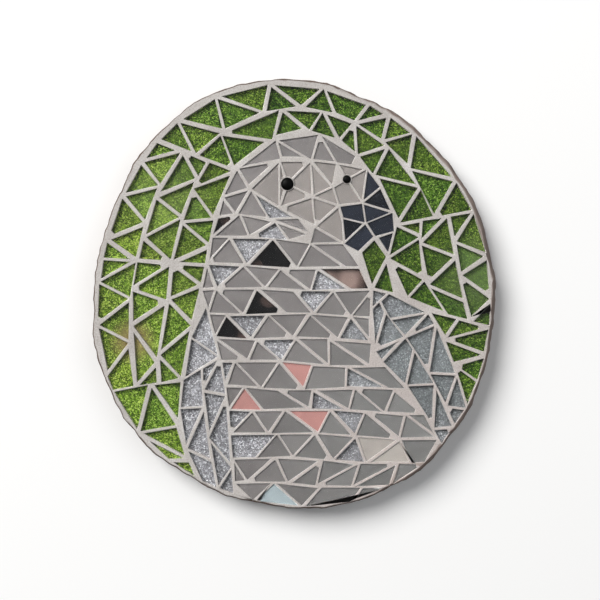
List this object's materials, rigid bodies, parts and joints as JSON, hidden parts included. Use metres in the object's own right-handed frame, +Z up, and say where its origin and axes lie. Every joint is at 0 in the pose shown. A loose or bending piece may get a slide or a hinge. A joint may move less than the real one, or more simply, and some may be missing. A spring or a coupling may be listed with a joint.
{
  "type": "mosaic wall panel",
  "caption": "Round wall panel: a slice of wood faced with cut glass mosaic in pale grout, showing a grey parrot's head and breast on a green ground.",
  "frame": {"origin": "middle of the flat back, which lies against the wall", "axes": "+Z up the picture, -Y out of the wall towards the viewer, +X to the viewer's right"},
  "size_m": [0.2621, 0.0242, 0.2796],
  "materials": {
    "wood": "dry sawn log, bark off, smeared with grout",
    "grout": "matt cement grout, pale warm grey",
    "green_glass": "clear glass over green glitter",
    "grey_glass": "clear glass over a satin grey backing",
    "pale_glass": "clear glass over a satin pale grey backing",
    "glitter_glass": "clear glass over silver glitter",
    "navy_glass": "clear glass over a blue-black backing",
    "black_glass": "black mirror glass",
    "bead_glass": "polished black glass bead",
    "rose_glass": "clear glass over a pink backing",
    "ice_glass": "clear glass over a pale blue backing",
    "pearl_glass": "clear glass over a pearly backing"
  },
  "bodies": {
    "root": {"wood_slice": "wood", "grout": "grout", "ground_left": "green_glass", "ground_lower_left": "green_glass", "ground_lower_right": "green_glass", "ground_right": "green_glass", "ground_top": "green_glass", "ground_upper_left": "green_glass", "ground_upper_right": "green_glass", "crown": "grey_glass", "neck_upper": "grey_glass", "neck_lower": "grey_glass", "breast_1": "grey_glass", "breast_2": "grey_glass", "breast_3": "grey_glass", "breast_4": "grey_glass", "breast_foot": "grey_glass", "face": "pale_glass", "eye_bead_near": "bead_glass", "eye_bead_far": "bead_glass", "bill_tile_1": "navy_glass", "bill_tile_2": "navy_glass", "bill_tile_3": "navy_glass", "bill_tile_4": "navy_glass", "bill_tile_5": "navy_glass", "bill_tile_6": "navy_glass", "bill_tile_7": "navy_glass", "bill_tile_8": "navy_glass", "near_wing": "glitter_glass", "far_wing": "glitter_glass", "silver_tile_1": "glitter_glass", "silver_tile_2": "glitter_glass", "silver_tile_3": "glitter_glass", "silver_tile_4": "glitter_glass", "silver_tile_5": "glitter_glass", "silver_tile_6": "glitter_glass", "silver_tile_7": "glitter_glass", "silver_tile_8": "glitter_glass", "silver_tile_9": "glitter_glass", "silver_tile_10": "glitter_glass", "silver_tile_11": "glitter_glass", "silver_tile_12": "glitter_glass", "silver_tile_13": "glitter_glass", "silver_tile_14": "glitter_glass", "silver_tile_15": "glitter_glass", "silver_tile_16": "glitter_glass", "black_tile_1": "black_glass", "black_tile_2": "black_glass", "black_tile_3": "black_glass", "black_tile_4": "black_glass", "black_tile_5": "black_glass", "rose_tile_1": "rose_glass", "rose_tile_2": "rose_glass", "rose_tile_3": "rose_glass", "ice_tile_1": "ice_glass", "pearl_tile_1": "pearl_glass", "pearl_tile_2": "pearl_glass"}
  },
  "joints": []
}
